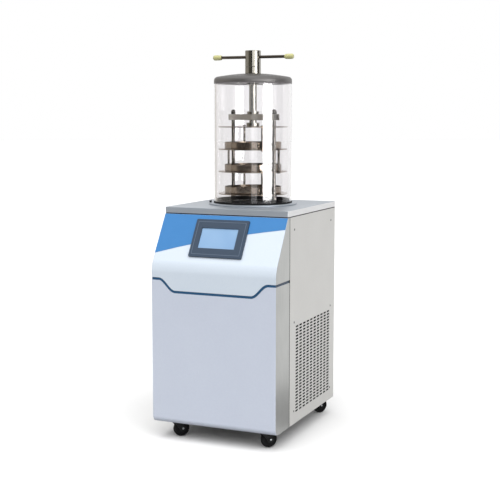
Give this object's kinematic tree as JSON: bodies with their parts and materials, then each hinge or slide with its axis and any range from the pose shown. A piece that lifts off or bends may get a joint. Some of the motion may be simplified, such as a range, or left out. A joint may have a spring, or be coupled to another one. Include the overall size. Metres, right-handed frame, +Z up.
{
  "type": "freeze dryer",
  "caption": "Floor-standing laboratory freeze dryer on casters: cold-trap cabinet with a control screen, clear drying chamber, tray shelves and a hand-turned stoppering press.",
  "frame": {"origin": "on the floor below the middle of the whole box", "axes": "+Z up, the front with the control screen towards -Y, +X to the right of someone facing the front"},
  "size_m": [0.436, 0.585, 1.2701],
  "materials": {
    "painted_grey": "textured grey powder coat",
    "painted_front": "smooth satin white powder coat",
    "blue_film": "printed blue satin film",
    "blue_trim": "dark blue satin strip",
    "slate_plastic": "satin moulded plastic",
    "screen_glass": "glossy backlit touch glass",
    "stainless_steel": "fine brushed stainless steel",
    "turned_steel": "turned and polished stainless steel",
    "clear_acrylic": "clear polished acrylic",
    "clear_silicone": "translucent silicone",
    "black_rubber": "matt black rubber",
    "black_plastic": "satin black plastic",
    "ivory_plastic": "glossy ivory plastic",
    "foam": "closed-cell insulating foam",
    "black_paint": "gloss black enamel",
    "brass": "machined brass",
    "aluminium": "machined aluminium"
  },
  "bodies": {
    "cabinet": {"base_pan": "painted_grey", "left_side_panel": "painted_grey", "right_side_panel": "painted_grey", "back_panel": "painted_grey", "top_cover": "stainless_steel", "upper_fascia": "painted_front", "lower_front_panel": "painted_front", "wave_trim": "blue_trim", "control_overlay": "blue_film", "screen_bezel": "slate_plastic", "touch_screen": "screen_glass", "power_inlet": "black_plastic", "vacuum_port": "stainless_steel", "drain_valve": "brass", "cold_trap": "stainless_steel", "trap_insulation": "foam", "compressor": "black_paint", "condenser": "aluminium", "chamber_flange": "stainless_steel", "lower_gasket": "black_rubber", "acrylic_cylinder": "clear_acrylic", "upper_gasket": "clear_silicone", "lid": "turned_steel", "gland_housing": "turned_steel", "gland_nut": "turned_steel", "crosshead": "aluminium", "guide_post_a": "stainless_steel", "guide_post_b": "stainless_steel", "acorn_nut_a": "stainless_steel", "acorn_nut_b": "stainless_steel", "rack_base": "stainless_steel", "shelf_4": "stainless_steel", "tray_3": "stainless_steel", "caster_plate_front_left": "turned_steel", "caster_plate_front_right": "turned_steel", "caster_plate_rear_left": "turned_steel", "caster_plate_rear_right": "turned_steel"},
    "handle": {"handle_hub": "turned_steel", "handle_bar": "turned_steel", "left_grip": "ivory_plastic", "right_grip": "ivory_plastic"},
    "press": {"spindle": "turned_steel", "thrust_foot": "turned_steel", "shelf_1": "stainless_steel"},
    "second_shelf": {"shelf_2": "stainless_steel", "tray_1": "stainless_steel"},
    "third_shelf": {"shelf_3": "stainless_steel", "tray_2": "stainless_steel"},
    "switch_rocker": {"power_switch": "black_plastic"},
    "drain_tap_lever": {"drain_lever": "black_paint"},
    "fan": {"fan_rotor": "black_plastic"},
    "fork_front_left": {"caster_fork_front_left": "black_plastic"},
    "wheel_front_left": {"caster_wheel_front_left": "black_rubber"},
    "fork_front_right": {"caster_fork_front_right": "black_plastic"},
    "wheel_front_right": {"caster_wheel_front_right": "black_rubber"},
    "fork_rear_left": {"caster_fork_rear_left": "black_plastic"},
    "wheel_rear_left": {"caster_wheel_rear_left": "black_rubber"},
    "fork_rear_right": {"caster_fork_rear_right": "black_plastic"},
    "wheel_rear_right": {"caster_wheel_rear_right": "black_rubber"}
  },
  "joints": [
    {"name": "handle_turn", "type": "hinge", "parent": "cabinet", "child": "handle", "pos_m": [0, 0.03, 1.2486], "axis": [0, 0, -1], "range_deg": [0, 1440]},
    {"name": "press_slide", "type": "slide", "parent": "cabinet", "child": "press", "axis": [0, 0, -1], "range_m": [0, 0.024]},
    {"name": "second_shelf_slide", "type": "slide", "parent": "cabinet", "child": "second_shelf", "axis": [0, 0, -1], "range_m": [0, 0.016]},
    {"name": "third_shelf_slide", "type": "slide", "parent": "cabinet", "child": "third_shelf", "axis": [0, 0, -1], "range_m": [0, 0.008]},
    {"name": "switch_rock", "type": "hinge", "parent": "cabinet", "child": "switch_rocker", "pos_m": [-0.11, 0.2543, 0.603], "axis": [1, 0, 0], "range_deg": [0, 16]},
    {"name": "drain_lever_turn", "type": "hinge", "parent": "cabinet", "child": "drain_tap_lever", "pos_m": [0.09, 0.2635, 0.2131], "axis": [0, 0, 1], "range_deg": [0, 90]},
    {"name": "fan_spin", "type": "hinge", "parent": "cabinet", "child": "fan", "pos_m": [0.1253, 0.0365, 0.2143], "axis": [1, 0, 0], "continuous": true},
    {"name": "swivel_front_left", "type": "hinge", "parent": "cabinet", "child": "fork_front_left", "pos_m": [-0.157, -0.2465, 0.0584], "axis": [0, 0, 1], "continuous": true},
    {"name": "roll_front_left", "type": "hinge", "parent": "fork_front_left", "child": "wheel_front_left", "pos_m": [-0.14496, -0.23053, 0.0275], "axis": [-0.7986, 0.6018, 0], "continuous": true},
    {"name": "swivel_front_right", "type": "hinge", "parent": "cabinet", "child": "fork_front_right", "pos_m": [0.157, -0.2465, 0.0584], "axis": [0, 0, 1], "continuous": true},
    {"name": "roll_front_right", "type": "hinge", "parent": "fork_front_right", "child": "wheel_front_right", "pos_m": [0.16904, -0.23053, 0.0275], "axis": [-0.7986, 0.6018, 0], "continuous": true},
    {"name": "swivel_rear_left", "type": "hinge", "parent": "cabinet", "child": "fork_rear_left", "pos_m": [-0.164, 0.2065, 0.0584], "axis": [0, 0, 1], "continuous": true},
    {"name": "roll_rear_left", "type": "hinge", "parent": "fork_rear_left", "child": "wheel_rear_left", "pos_m": [-0.15196, 0.22247, 0.0275], "axis": [-0.7986, 0.6018, 0], "continuous": true},
    {"name": "swivel_rear_right", "type": "hinge", "parent": "cabinet", "child": "fork_rear_right", "pos_m": [0.164, 0.2065, 0.0584], "axis": [0, 0, 1], "continuous": true},
    {"name": "roll_rear_right", "type": "hinge", "parent": "fork_rear_right", "child": "wheel_rear_right", "pos_m": [0.17604, 0.22247, 0.0275], "axis": [-0.7986, 0.6018, 0], "continuous": true}
  ],
  "couplings": [
    {"joint": "press_slide", "follows": "handle_turn", "m_per_rad": 0.00095493},
    {"joint": "second_shelf_slide", "follows": "handle_turn", "m_per_rad": 0.00063662},
    {"joint": "third_shelf_slide", "follows": "handle_turn", "m_per_rad": 0.00031831}
  ]
}
